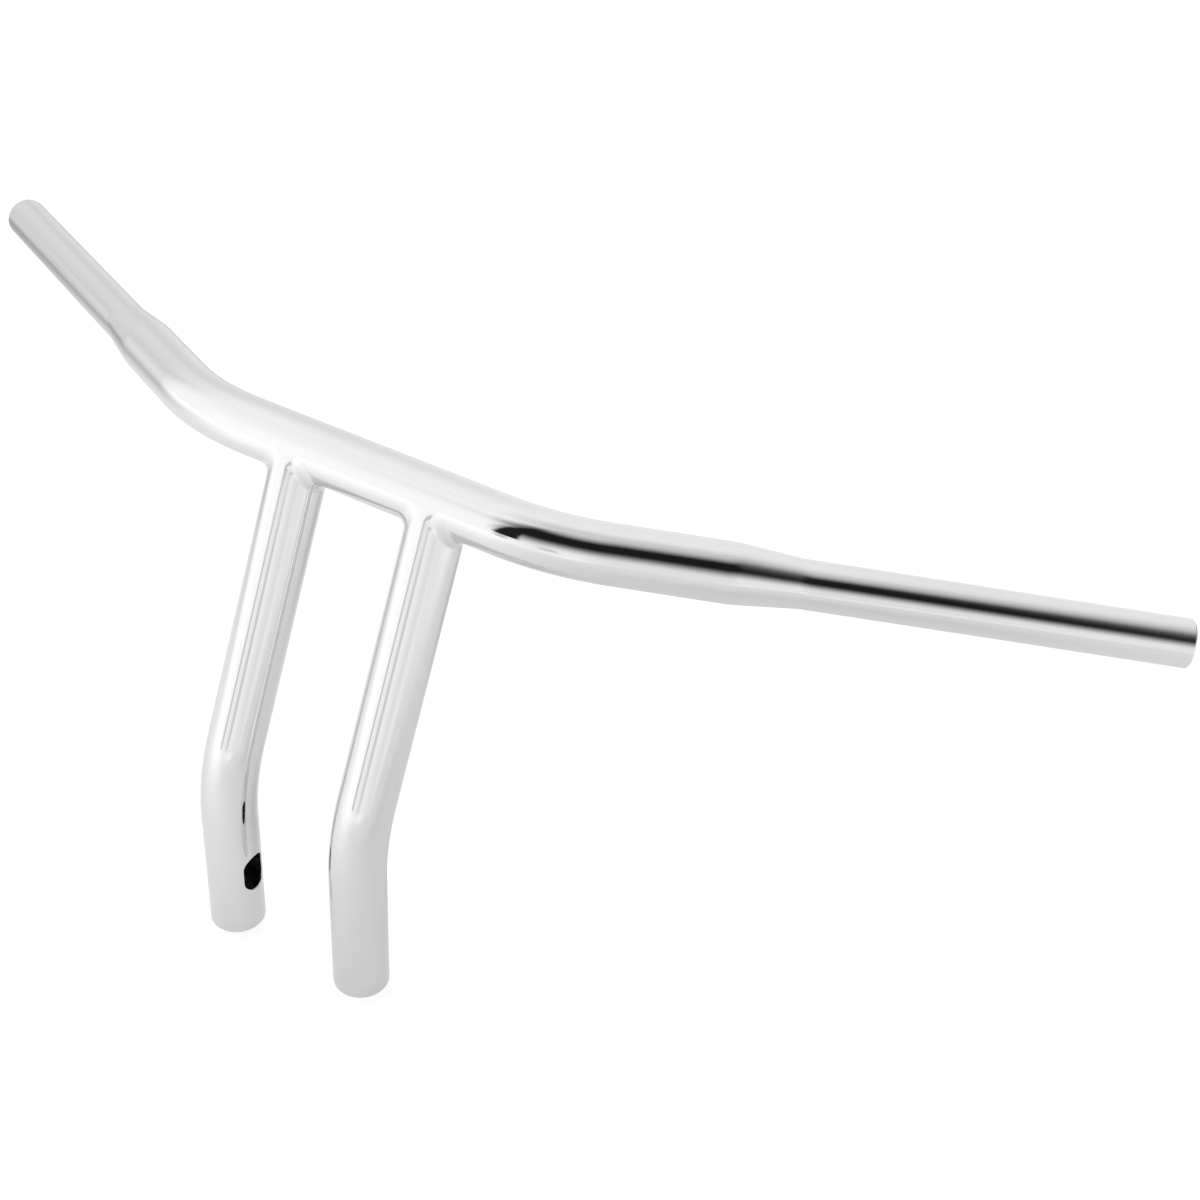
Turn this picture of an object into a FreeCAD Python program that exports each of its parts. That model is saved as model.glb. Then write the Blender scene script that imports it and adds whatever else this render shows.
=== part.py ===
# T-bar motorcycle handlebar: a 1-1/4 in steel crossbar on two welded pull-back risers,
# with 1 in grip tubes joined to it by turned reducers. Everything is welded and dressed. Row frame in millimetres:
# +X to the rider's right, +Y forward, +Z up. The origin is midway between the two
# riser feet, on the plane of their mounting faces.
import FreeCAD, Part
import math
import os

os.makedirs("parts", exist_ok=True)
V = FreeCAD.Vector

# ---- driving dimensions (mm, degrees) ----
RISER_SPACING = 88.9        # 3-1/2 in between the riser bolts
FEED_OD = 31.75             # 1-1/4 in crossbar and riser tube
WALL = 3.05                 # 0.120 in wall
GRIP_OD = 25.4              # 1 in grip tube
RISER_LEG = 105.0           # foot to the point where the riser's two axes meet
PULLBACK = 81.0             # crossbar axis behind the riser feet
BAR_Z = 282.0               # crossbar axis above the riser feet
RISER_CLR = 114.3           # riser bend, centre-line radius
BAR_HALF = 110.4            # centre to the point where crossbar and arm axes meet
BAR_CLR = 120.65            # crossbar bend, centre-line radius
SWEEP = 28.4                # arm swept back
DROOP = 6.3                 # arm tipped down
TAPER_START = 92.0          # along the arm, from its vertex: crossbar end, reducer's wide end
TAPER_END = 127.0           # reducer's narrow end, start of the grip tube
GRIP_END = 325.0            # open end of the bar
END_CHAMFER = 1.0
SPIGOT = 14.0               # reducer's spigots, inside the crossbar and inside the grip tube
SPIGOT_GAP = 0.05
SOCKET_R = 9.85             # grip tube's inner end, bored out for the spigot
SOCKET_DEEP = 14.5
REDUCER_BORE_R = 7.0        # wire passage
SEAM_HALF = 1.8             # half width of the dressed ring welds on the arms
SEAM_DEPTH = 2.0
COPE_LAND_R = 14.4          # the coped riser touches the crossbar inside this radius
COPE_BEVEL = 1.5            # and is bevelled back for the weld outside it
SADDLE_FILLET = 5.0         # dressed weld between riser and crossbar, at the sides
SADDLE_SPREAD = 2.5         # and how much wider it is at the front and back
FOOT_THICK = 6.0            # foot flange of the threaded bung
FOOT_CHAMFER = 1.2
BUNG_TOP = 27.0
BUNG_GAP = 0.02             # light press fit in the riser tube
THREAD_MINOR_R = 5.36       # 1/2-13 UNC tapping size
GROOVE_HALF = 2.0           # weld groove at the foot
GROOVE_ROOT_R = 13.4
PORT_W = 15.0               # wire port on the inboard side of each riser
PORT_H = 25.0
PORT_Z = 42.5
DRAIN_R = 9.0               # wire hole from the crossbar into each riser
SLOT_W = 12.7               # wire slot under each arm
SLOT_L = 24.0
SLOT_AT = 61.0

R_BAR = FEED_OD / 2.0
R_BORE = R_BAR - WALL
R_GRIP = GRIP_OD / 2.0
R_GRIP_BORE = R_GRIP - WALL
RISER_X = RISER_SPACING / 2.0
TAPER_SLOPE = (R_BAR - R_GRIP) / (TAPER_END - TAPER_START)

sw, dr = math.radians(SWEEP), math.radians(DROOP)
ARM = {
    +1: V(math.cos(sw) * math.cos(dr), -math.sin(sw) * math.cos(dr), -math.sin(dr)),
    -1: V(-math.cos(sw) * math.cos(dr), -math.sin(sw) * math.cos(dr), -math.sin(dr)),
}
MID = V(0, -PULLBACK, BAR_Z)
KNEE = {s: V(s * BAR_HALF, -PULLBACK, BAR_Z) for s in (1, -1)}
SIDE = {1: "right", -1: "left"}


def unit(v):
    w = V(v)
    w.normalize()
    return w


def rod(p, q, r):
    d = q - p
    return Part.makeCylinder(r, d.Length, p, d)


def bend_points(p0, knee, p1, clr):
    """Tangent points, centre, axis and angle of the arc that rounds p0-knee-p1."""
    u, w = unit(knee - p0), unit(p1 - knee)
    ang = u.getAngle(w)
    t = clr * math.tan(ang / 2.0)
    a, b = knee - u * t, knee + w * t
    n = unit(w - u * w.dot(u))
    return a, b, a + n * clr, unit(u.cross(w)), ang


def elbow(a, centre, axis, ang, direction, r):
    disc = Part.Face(Part.Wire(Part.makeCircle(r, a, direction)))
    return disc.revolve(centre, axis, math.degrees(ang))


def bent_rod(p0, knee, p1, clr, r):
    a, b, c, ax, ang = bend_points(p0, knee, p1, clr)
    return [rod(p0, a, r), elbow(a, c, ax, ang, unit(knee - p0), r), rod(b, p1, r)]


def fuse(parts):
    out = parts[0]
    for p in parts[1:]:
        out = out.fuse(p)
    return out.removeSplitter()


def lathe(points, origin, direction):
    """Solid of revolution of (along, radius) points about an axis."""
    d = unit(direction)
    side = unit(d.cross(V(0, 0, 1))) if abs(d.z) < 0.99 else V(1, 0, 0)
    ps = [origin + d * a + side * r for a, r in points]
    wire = Part.makePolygon(ps + [ps[0]])
    return Part.Face(wire).revolve(origin, d, 360.0)


def obround(width, length, depth, centre, depth_dir, length_dir):
    """A slot cutter, 'depth' long from its centre along depth_dir."""
    dd, ld = unit(depth_dir), unit(length_dir)
    wd = dd.cross(ld)
    h = (length - width) / 2.0
    r = width / 2.0
    c1, c2 = centre + ld * h, centre - ld * h
    pts = [c1 + wd * r, c1 + ld * r, c1 - wd * r, c2 - wd * r, c2 - ld * r, c2 + wd * r]
    edges = [
        Part.Arc(pts[0], pts[1], pts[2]).toShape(),
        Part.LineSegment(pts[2], pts[3]).toShape(),
        Part.Arc(pts[3], pts[4], pts[5]).toShape(),
        Part.LineSegment(pts[5], pts[0]).toShape(),
    ]
    return Part.Face(Part.Wire(edges)).extrude(dd * depth)


def save(name, shape):
    solids = shape.Solids
    out = solids[0] if len(solids) == 1 else Part.makeCompound(solids)
    ok = all(s.isValid() and s.isClosed() for s in solids)
    print("%-20s solids %d valid %s volume %.1f" % (name, len(solids), ok, sum(s.Volume for s in solids)))
    out.exportStep("parts/%s.step" % name)


# ---- crossbar: centre span, two bends, two straight arms ----
def bar_solid(r, end):
    tangent = {}
    parts = []
    for s in (1, -1):
        p1 = KNEE[s] + ARM[s] * end
        t0, t1, c, ax, ang = bend_points(MID, KNEE[s], p1, BAR_CLR)
        tangent[s] = t0
        parts += [elbow(t0, c, ax, ang, V(s, 0, 0), r), rod(t1, p1, r)]
    return fuse([rod(tangent[-1], tangent[1], r)] + parts)


def seam(s, at, slope_in, slope_out, r):
    """Ring weld that fills a V groove; its dressed outside follows the two pieces it joins."""
    return lathe(
        [(at, r - SEAM_DEPTH), (at - SEAM_HALF, r - slope_in * SEAM_HALF), (at, r), (at + SEAM_HALF, r - slope_out * SEAM_HALF)],
        KNEE[s],
        ARM[s],
    )


crossbar = bar_solid(R_BAR, TAPER_START).cut(bar_solid(R_BORE, TAPER_START + 2.0))
for s in (1, -1):
    groove = lathe(
        [(TAPER_START, R_BAR - SEAM_DEPTH), (TAPER_START - SEAM_HALF, R_BAR), (TAPER_START - SEAM_HALF, R_BAR + 2), (TAPER_START + 2, R_BAR + 2), (TAPER_START + 2, R_BAR - SEAM_DEPTH)],
        KNEE[s],
        ARM[s],
    )
    crossbar = crossbar.cut(groove)

RISER_TOP = {s: V(s * RISER_X, -PULLBACK, BAR_Z) for s in (1, -1)}
RISER_KNEE = {s: V(s * RISER_X, 0, RISER_LEG) for s in (1, -1)}
UP = unit(V(0, -PULLBACK, BAR_Z - RISER_LEG))
for s in (1, -1):
    # wire hole into the riser, hidden inside the saddle joint
    crossbar = crossbar.cut(rod(RISER_TOP[s], RISER_TOP[s] - UP * 22.0, DRAIN_R))
    # wire slot under the arm, just inboard of the taper
    down = V(0, 0, -1) - ARM[s] * V(0, 0, -1).dot(ARM[s])
    crossbar = crossbar.cut(obround(SLOT_W, SLOT_L, 24.0, KNEE[s] + ARM[s] * SLOT_AT, down, ARM[s]))
save("crossbar_tube", crossbar)

# ---- reducers, grip tubes and the ring welds that join them ----
for s in (1, -1):
    reducer = lathe(
        [
            (TAPER_START - SPIGOT, REDUCER_BORE_R),
            (TAPER_START - SPIGOT, R_BORE - SPIGOT_GAP - 1.0),
            (TAPER_START - SPIGOT + 1.0, R_BORE - SPIGOT_GAP),
            (TAPER_START, R_BORE - SPIGOT_GAP),
            (TAPER_START, R_BAR - SEAM_DEPTH),
            (TAPER_START + SEAM_HALF, R_BAR - TAPER_SLOPE * SEAM_HALF),
            (TAPER_END - SEAM_HALF, R_GRIP + TAPER_SLOPE * SEAM_HALF),
            (TAPER_END, R_GRIP - SEAM_DEPTH),
            (TAPER_END, SOCKET_R - SPIGOT_GAP),
            (TAPER_END + SPIGOT - 1.0, SOCKET_R - SPIGOT_GAP),
            (TAPER_END + SPIGOT, SOCKET_R - SPIGOT_GAP - 1.0),
            (TAPER_END + SPIGOT, REDUCER_BORE_R),
        ],
        KNEE[s],
        ARM[s],
    )
    save(SIDE[s] + "_reducer", reducer)
    grip = lathe(
        [
            (TAPER_END + SOCKET_DEEP, R_GRIP_BORE),
            (TAPER_END + SOCKET_DEEP, SOCKET_R),
            (TAPER_END, SOCKET_R),
            (TAPER_END, R_GRIP - SEAM_DEPTH),
            (TAPER_END + SEAM_HALF, R_GRIP),
            (GRIP_END - END_CHAMFER, R_GRIP),
            (GRIP_END, R_GRIP - END_CHAMFER),
            (GRIP_END, R_GRIP_BORE),
        ],
        KNEE[s],
        ARM[s],
    )
    save(SIDE[s] + "_grip_tube", grip)
    save(SIDE[s] + "_reducer_weld", seam(s, TAPER_START, 0.0, TAPER_SLOPE, R_BAR))
    save(SIDE[s] + "_grip_weld", seam(s, TAPER_END, -TAPER_SLOPE, 0.0, R_GRIP))

# ---- risers ----
riser = {}
for s in (1, -1):
    foot = V(s * RISER_X, 0, 0)
    seat = V(s * RISER_X, 0, FOOT_THICK)
    solid = fuse(bent_rod(seat, RISER_KNEE[s], RISER_TOP[s], RISER_CLR, R_BAR))
    bore = fuse(bent_rod(seat - V(0, 0, 1), RISER_KNEE[s], RISER_TOP[s] + UP * 20, RISER_CLR, R_BORE))
    tube = solid.cut(bore)
    # coped to sit on the crossbar, and bevelled outside the land for the saddle weld
    tube = tube.cut(rod(RISER_TOP[s] - V(40, 0, 0), RISER_TOP[s] + V(40, 0, 0), R_BAR))
    bevel = rod(RISER_TOP[s] - V(40, 0, 0), RISER_TOP[s] + V(40, 0, 0), R_BAR + COPE_BEVEL)
    tube = tube.cut(bevel.cut(rod(RISER_TOP[s] - UP * 30, RISER_TOP[s] + UP * 5, COPE_LAND_R)))
    # bevel for the foot weld
    bevel = lathe(
        [(0, GROOVE_ROOT_R), (GROOVE_HALF, R_BAR), (GROOVE_HALF, R_BAR + 5), (-2, R_BAR + 5), (-2, GROOVE_ROOT_R)],
        seat,
        V(0, 0, 1),
    )
    tube = tube.cut(bevel)
    tube = tube.cut(
        obround(PORT_W, PORT_H, 24.0, V(s * RISER_X, 0, PORT_Z), V(-s, 0, 0), V(0, 0, 1))
    )
    riser[s] = max(tube.Solids, key=lambda k: k.Volume)
    save(SIDE[s] + "_riser_tube", riser[s])

    r_body = R_BORE - BUNG_GAP
    bung = lathe(
        [
            (0, THREAD_MINOR_R),
            (0, R_BAR - FOOT_CHAMFER),
            (FOOT_CHAMFER, R_BAR),
            (FOOT_THICK - GROOVE_HALF, R_BAR),
            (FOOT_THICK, GROOVE_ROOT_R),
            (FOOT_THICK, r_body),
            (BUNG_TOP - 1.0, r_body),
            (BUNG_TOP, r_body - 1.0),
            (BUNG_TOP, THREAD_MINOR_R),
        ],
        foot,
        V(0, 0, 1),
    )
    save(SIDE[s] + "_riser_bung", bung)
    weld = lathe(
        [(0, GROOVE_ROOT_R), (GROOVE_HALF, R_BAR), (-GROOVE_HALF, R_BAR)],
        seat,
        V(0, 0, 1),
    )
    save(SIDE[s] + "_foot_weld", weld)

# ---- saddle welds: one ring each, filling the bevel of the cope and dressed into a
# hollow either side of the riser, wider towards the front and back of the joint ----
N = unit(V(1, 0, 0).cross(UP))
DIG = 0.12                  # the fillet runs this far into the tubes before it is trimmed
for s in (1, -1):
    run = rod(RISER_TOP[s] - V(60, 0, 0), RISER_TOP[s] + V(60, 0, 0), R_BAR)
    block = rod(RISER_TOP[s] - UP * 26, RISER_TOP[s], R_BAR)
    ring = block.cut(rod(RISER_TOP[s] - UP * 30, RISER_TOP[s] + UP * 5, COPE_LAND_R))
    ring = ring.common(rod(RISER_TOP[s] - V(40, 0, 0), RISER_TOP[s] + V(40, 0, 0), R_BAR + COPE_BEVEL)).cut(run)
    ring = max(ring.Solids, key=lambda k: k.Volume)
    weld = ring
    for side in (1, -1):
        wires = []
        for i in range(-12, 13):
            f = math.radians(i * 7.0)
            c, sn = math.cos(f), math.sin(f)
            w = SADDLE_FILLET + SADDLE_SPREAD * sn * sn

            def at(x, t):
                return RISER_TOP[s] + V(side * x, 0, 0) + UP * t + N * (R_BAR * sn)

            k = R_BAR * c
            a = at(k - DIG, -(k + w))
            b = at(k + w, -(k - DIG))
            m = at(k + w * (1 - math.sqrt(0.5)), -(k + w * (1 - math.sqrt(0.5))))
            q = min(3.5, k - 0.5)
            root = at(k - q, -(k - q))
            wires.append(
                Part.Wire(
                    [
                        Part.Arc(a, m, b).toShape(),
                        Part.LineSegment(b, root).toShape(),
                        Part.LineSegment(root, a).toShape(),
                    ]
                )
            )
        bead = Part.makeLoft(wires, True, False)
        if bead.Volume < 0:
            bead.reverse()
        bead = bead.cut(block.fuse(rod(RISER_TOP[s] - UP * 60, RISER_TOP[s], R_BAR)).removeSplitter()).cut(run)
        bead = max(bead.Solids, key=lambda k: k.Volume)
        print("bead", side, bead.isValid(), round(bead.Volume, 2))
        weld = weld.fuse(bead)
    save(SIDE[s] + "_saddle_weld", weld)
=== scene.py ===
import math

import bpy
from mathutils import Matrix, Vector


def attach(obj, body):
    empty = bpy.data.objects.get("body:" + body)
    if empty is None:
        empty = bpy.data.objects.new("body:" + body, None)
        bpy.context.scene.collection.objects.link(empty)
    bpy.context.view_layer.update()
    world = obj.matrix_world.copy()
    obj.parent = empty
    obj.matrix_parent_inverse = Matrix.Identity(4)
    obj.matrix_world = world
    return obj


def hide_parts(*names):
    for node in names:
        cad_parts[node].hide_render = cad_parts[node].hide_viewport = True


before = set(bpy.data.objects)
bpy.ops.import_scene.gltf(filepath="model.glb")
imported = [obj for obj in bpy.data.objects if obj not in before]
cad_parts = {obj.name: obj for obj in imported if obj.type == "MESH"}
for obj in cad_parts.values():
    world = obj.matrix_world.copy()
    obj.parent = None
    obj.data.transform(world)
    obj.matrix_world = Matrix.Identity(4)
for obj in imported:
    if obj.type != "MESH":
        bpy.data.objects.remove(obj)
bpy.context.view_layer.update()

# ------------------------------------------------------------------ sizes, in metres, as in the CAD
MM = 0.001
RISER_X = 44.45 * MM
R_BAR = 15.875 * MM
WALL = 3.05 * MM
R_BORE = R_BAR - WALL
R_GRIP = 12.7 * MM
R_GRIP_BORE = R_GRIP - WALL
RISER_LEG = 105.0 * MM
PULLBACK = 81.0 * MM
BAR_Z = 282.0 * MM
RISER_CLR = 114.3 * MM
BAR_HALF = 110.4 * MM
BAR_CLR = 120.65 * MM
SWEEP = math.radians(28.4)
DROOP = math.radians(6.3)
TAPER_START = 92.0 * MM
TAPER_END = 127.0 * MM
GRIP_END = 325.0 * MM
END_CHAMFER = 1.0 * MM
SPIGOT = 14.0 * MM
SPIGOT_GAP = 0.05 * MM
SOCKET_R = 9.85 * MM
SOCKET_DEEP = 14.5 * MM
REDUCER_BORE_R = 7.0 * MM
SEAM_HALF = 1.8 * MM
SEAM_DEPTH = 2.0 * MM
SADDLE_FILLET = 5.0 * MM
SADDLE_SPREAD = 2.5 * MM
FOOT_THICK = 6.0 * MM
FOOT_CHAMFER = 1.2 * MM
BUNG_TOP = 27.0 * MM
BUNG_GAP = 0.02 * MM
GROOVE_HALF = 2.0 * MM
GROOVE_ROOT_R = 13.4 * MM
THREAD_MINOR_R = 5.36 * MM
THREAD_MAJOR_R = 6.35 * MM
THREAD_PITCH = 25.4 / 13 * MM
PORT_W, PORT_H, PORT_Z = 15.0 * MM, 25.0 * MM, 42.5 * MM
DRAIN_R = 9.0 * MM
SLOT_W, SLOT_L, SLOT_AT = 12.7 * MM, 24.0 * MM, 61.0 * MM
NEAR = 128              # segments round a 1-1/4 in tube

X, Y, Z = Vector((1, 0, 0)), Vector((0, 1, 0)), Vector((0, 0, 1))
MID = Vector((0, -PULLBACK, BAR_Z))
SIDE = {1: "right", -1: "left"}
KNEE = {s: Vector((s * BAR_HALF, -PULLBACK, BAR_Z)) for s in (1, -1)}
ARM = {
    s: Vector((s * math.cos(SWEEP) * math.cos(DROOP), -math.sin(SWEEP) * math.cos(DROOP), -math.sin(DROOP)))
    for s in (1, -1)
}
UP = Vector((0, -PULLBACK, BAR_Z - RISER_LEG)).normalized()
FORE = X.cross(UP).normalized()


# ------------------------------------------------------------------ mesh code
class Skin:
    """Collects faces with an exact normal at each corner, and makes one closed mesh of them."""

    def __init__(self):
        self.co, self.index, self.faces, self.normals, self.mats = [], {}, [], [], []

    def vert(self, p):
        """The point's number; a point within about a third of a micron of an earlier one is that one."""
        near = []
        for v in (p[0] * 2e6, p[1] * 2e6, p[2] * 2e6):
            k = round(v)
            near.append((k, k + (1 if v > k else -1)) if abs(v - k) > 0.3 else (k,))
        for key in ((x, y, z) for x in near[0] for y in near[1] for z in near[2]):
            if key in self.index:
                return self.index[key]
        self.index[near[0][0], near[1][0], near[2][0]] = len(self.co)
        self.co.append(tuple(p))
        return len(self.co) - 1

    def face(self, points, normals, mat=0):
        ids, ns = [], []
        for p, n in zip(points, normals):
            i = self.vert(p)
            if i not in ids:
                ids.append(i)
                ns.append(n)
        if len(ids) < 3:
            return
        area = Vector()
        ps = [Vector(self.co[i]) for i in ids]
        for a, b in zip(ps[1:], ps[2:]):
            area += (a - ps[0]).cross(b - ps[0])
        if area.length < 1e-13:
            return
        if area.dot(sum(ns, Vector())) < 0:
            ids.reverse()
            ns.reverse()
        self.faces.append(ids)
        self.normals.append(ns)
        self.mats.append(mat)

    def grid(self, rows, mat=0, skip=None):
        """rows of (point, normal); consecutive rows are joined by quads."""
        for j, (a, b) in enumerate(zip(rows, rows[1:])):
            for i in range(len(a) - 1):
                if skip and skip(i, j):
                    continue
                q = (a[i], a[i + 1], b[i + 1], b[i])
                self.face([v[0] for v in q], [v[1] for v in q], mat)

    def make(self, name, materials, slot, *nodes):
        mesh = bpy.data.meshes.new(name)
        mesh.from_pydata(self.co, [], self.faces)
        for m in materials:
            mesh.materials.append(m)
        for poly, m in zip(mesh.polygons, self.mats):
            poly.material_index = m
            poly.use_smooth = True
        flat = [n.normalized() for ns in self.normals for n in ns]
        mesh.normals_split_custom_set(flat)
        mesh.validate(clean_customdata=False)
        obj = bpy.data.objects.new(name, mesh)
        bpy.context.scene.collection.objects.link(obj)
        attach(obj, "root")
        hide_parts(*nodes)
        return obj


def around(axis, ref):
    """Two unit vectors square to axis; the first lies towards ref."""
    a = axis.normalized()
    d = (ref - a * ref.dot(a)).normalized()
    return d, a.cross(d)


class Run:
    """Stations along a tube's centre line, each (centre, tangent, d, b), turned with the bends."""

    def __init__(self, ref):
        self.st, self.ref = [], ref

    def straight(self, p, q, step):
        n = max(1, int(math.ceil((q - p).length / step)))
        t = (q - p).normalized()
        d, b = around(t, self.ref)
        for k in range(n + 1):
            c = p.lerp(q, k / n)
            if self.st and (c - self.st[-1][0]).length < 1e-7:
                continue
            self.st.append((c, t.copy(), d.copy(), b.copy()))
        self.ref = d

    def bend(self, knee, after, clr, n):
        p, t0 = self.st[-1][0], self.st[-1][1]
        w = (after - knee).normalized()
        ang = t0.angle(w)
        k = (w - t0 * w.dot(t0)).normalized()
        axis = t0.cross(w).normalized()
        centre = p + k * clr
        d0 = self.st[-1][2]
        for i in range(1, n + 1):
            rot = Matrix.Rotation(ang * i / n, 3, axis)
            c = centre + rot @ (p - centre)
            t, d = rot @ t0, rot @ d0
            self.st.append((c, t, d, t.cross(d)))
        self.ref = self.st[-1][2]


def tangent_length(u, w, clr):
    return clr * math.tan(u.angle(w) / 2)


def ring(st, r, n, sign=1.0):
    c, t, d, b = st
    row = []
    for i in range(n + 1):
        a = 2 * math.pi * (i % n) / n
        out = d * math.cos(a) + b * math.sin(a)
        row.append((c + out * r, out * sign))
    return row


def obround(width, length, count):
    """Points (w, s) round an obround and the outward normal at each, for count equal angles from its middle."""
    r, h = width / 2, max(0.0, (length - width) / 2)
    out = []
    for k in range(count):
        a = 2 * math.pi * k / count
        out.append(obround_at(r, h, a))
    return out


def obround_at(r, h, a):
    cw, cs = math.cos(a), math.sin(a)          # direction across, along
    if h and abs(cw) * h >= abs(cs) * r:       # meets a straight side
        k = r / abs(cw)
        return (cw * k, cs * k, math.copysign(1.0, cw), 0.0)
    c = math.copysign(h, cs)                   # meets an end arc
    bq = cs * c
    k = bq + math.sqrt(max(0.0, bq * bq - (c * c - r * r)))
    w, s = cw * k, cs * k
    return (w, s, w / r, (s - c) / r)


def side_hole(skin, origin, axis, drill, r_out, r_in, width, length, rows_out, rows_in, i_span, j_span, n, edge, mats):
    """Opens an obround hole through the wall in direction drill. rows_* are the tube's own grids, whose cells in i_span x j_span were left out.
    The hole's middle is at origin on the tube's axis."""
    d = (drill - axis * drill.dot(axis)).normalized()
    b = axis.cross(d)
    i0, i1 = i_span
    j0, j1 = j_span

    def rim(rows):
        pts = []
        for i in range(i0, i1):
            pts.append(rows[j0][i % n])
        for j in range(j0, j1):
            pts.append(rows[j][i1 % n])
        for i in range(i1, i0, -1):
            pts.append(rows[j1][i % n])
        for j in range(j1, j0, -1):
            pts.append(rows[j][i0 % n])
        return pts

    def spot(w, s, r):
        """Point on the cylinder of radius r over (w, s), and its radial direction."""
        k = math.sqrt(max(0.0, r * r - w * w))
        out = (b * w + d * k) / r
        return origin + axis * s + b * w + d * k, out

    def coords(p, r):
        v = p - origin
        s = v.dot(axis)
        ang = math.atan2(v.dot(b), v.dot(d))
        return ang * r, s

    for rows, r, sign, m in ((rows_out, r_out, 1.0, mats[0]), (rows_in, r_in, -1.0, mats[1])):
        outer = rim(rows)
        if sign > 0:
            # match directions in the flattened wall, so that the cells do not twist; the bore takes the same ones
            angles = [math.atan2(s, aw) for aw, s in (coords(p, r) for p, _ in outer)]
        loops = [[] for _ in range(8)]
        for a, (p, _) in zip(angles, outer):
            aw, s = coords(p, r)
            w0, s0, nw, ns = obround_at(width / 2, max(0.0, (length - width) / 2), a)
            off = edge if sign > 0 else 0.0
            w1, s1 = w0 + nw * off, s0 + ns * off
            tgt = math.asin(max(-1, min(1, w1 / r))) * r
            for k in range(8):
                f = (k / 7.0) ** 1.35
                aw2, s2 = tgt + (aw - tgt) * f, s1 + (s - s1) * f
                out = d * math.cos(aw2 / r) + b * math.sin(aw2 / r)
                loops[k].append((origin + axis * s2 + out * r, out * sign))
        for a, c in zip(loops, loops[1:]):
            skin.grid([a + a[:1], c + c[:1]], m)
        if sign > 0:
            first_out = loops[0]
        else:
            first_in = loops[0]
    h = max(0.0, (length - width) / 2)
    bev = [[] for _ in range(7)]
    for a, (p, no) in zip(angles, first_out):
        w0, s0, nw, ns = obround_at(width / 2, h, a)
        corner, rad = spot(w0, s0, r_out)
        low = corner - d * edge
        wall_n = -(b * nw + axis * ns)
        for k in range(7):
            f = k / 6.0
            q = p * (1 - f) ** 2 + corner * 2 * f * (1 - f) + low * f * f
            nn = no.slerp(wall_n, f) if no.dot(wall_n) > -0.999 else wall_n
            bev[k].append((q, nn))
    for a, c in zip(bev, bev[1:]):
        skin.grid([a + a[:1], c + c[:1]], mats[2])
    last = []
    for a, (p, no) in zip(angles, first_in):
        w0, s0, nw, ns = obround_at(width / 2, h, a)
        last.append((p, -(b * nw + axis * ns)))
    top = [(p, -(b * obround_at(width / 2, h, a)[2] + axis * obround_at(width / 2, h, a)[3])) for a, (p, _) in zip(angles, bev[-1])]
    skin.grid([top + top[:1], last + last[:1]], mats[2])


def lathe(skin, origin, axis, profile, n, mats=None, hard=0.5, skin_of=()):
    """Closed outline of (along, radius) points turned about an axis. A corner sharper than 'hard' radians keeps two normals.
    Points listed in skin_of lie on an arm's outside and take its exact slope, so that neighbouring pieces meet smoothly."""
    a = axis.normalized()
    d, b = around(a, Z if abs(a.z) < 0.9 else X)
    m = len(profile)
    area = sum(profile[i][0] * profile[(i + 1) % m][1] - profile[(i + 1) % m][0] * profile[i][1] for i in range(m))
    sgn = 1.0 if area < 0 else -1.0
    seg = []
    for i in range(m):
        p, q = profile[i], profile[(i + 1) % m]
        da, dr = q[0] - p[0], q[1] - p[1]
        k = math.hypot(da, dr) or 1.0
        seg.append((-dr / k * sgn, da / k * sgn))   # outward normal of the edge in (along, radius)

    def vertex_normal(i, e):
        """Normal at profile point i for edge e (edge i starts at point i)."""
        if i in skin_of and e in skin_of and (e + 1) % m in skin_of:
            slope = outside_slope(profile[i][0])
            k = math.hypot(slope, 1.0)
            return (-slope / k, 1.0 / k)
        other = seg[i - 1] if e == i else seg[i]
        own = seg[e]
        dot = max(-1.0, min(1.0, own[0] * other[0] + own[1] * other[1]))
        if math.acos(dot) > hard:
            return own
        x, y = own[0] + other[0], own[1] + other[1]
        k = math.hypot(x, y)
        return (x / k, y / k)

    for e in range(m):
        i, j = e, (e + 1) % m
        rows = []
        for idx in (i, j):
            al, r = profile[idx]
            na, nr = vertex_normal(idx, e)
            row = []
            for k in range(n + 1):
                t = 2 * math.pi * (k % n) / n
                out = d * math.cos(t) + b * math.sin(t)
                row.append((origin + a * al + out * r, a * na + out * nr))
            rows.append(row)
        skin.grid(rows, (mats[e] if mats else 0))


def smooth_radius(along):
    """Outside radius along an arm: crossbar, cone and grip tube, with the two dressed seams eased into each other."""
    slope = (R_BAR - R_GRIP) / (TAPER_END - TAPER_START)
    r = R_BAR
    for at, k in ((TAPER_START, -slope), (TAPER_END, slope)):
        e = 3.0 * MM                       # half length of the eased corner
        v = along - at
        if v > e:
            r += k * v
        elif v > -e:
            r += k * (v + e) ** 2 / (4 * e)
    return r


def outside_slope(along):
    """How fast that radius changes along the arm."""
    d = 0.02 * MM
    return (smooth_radius(along + d) - smooth_radius(along - d)) / (2 * d)


def arm_ring(st, axis, along, n):
    """Ring on an arm's outside, its normals tilted by the cone."""
    tilt = axis * outside_slope(along)
    return [(p, (nn - tilt).normalized()) for p, nn in ring(st, smooth_radius(along), n)]


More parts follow.
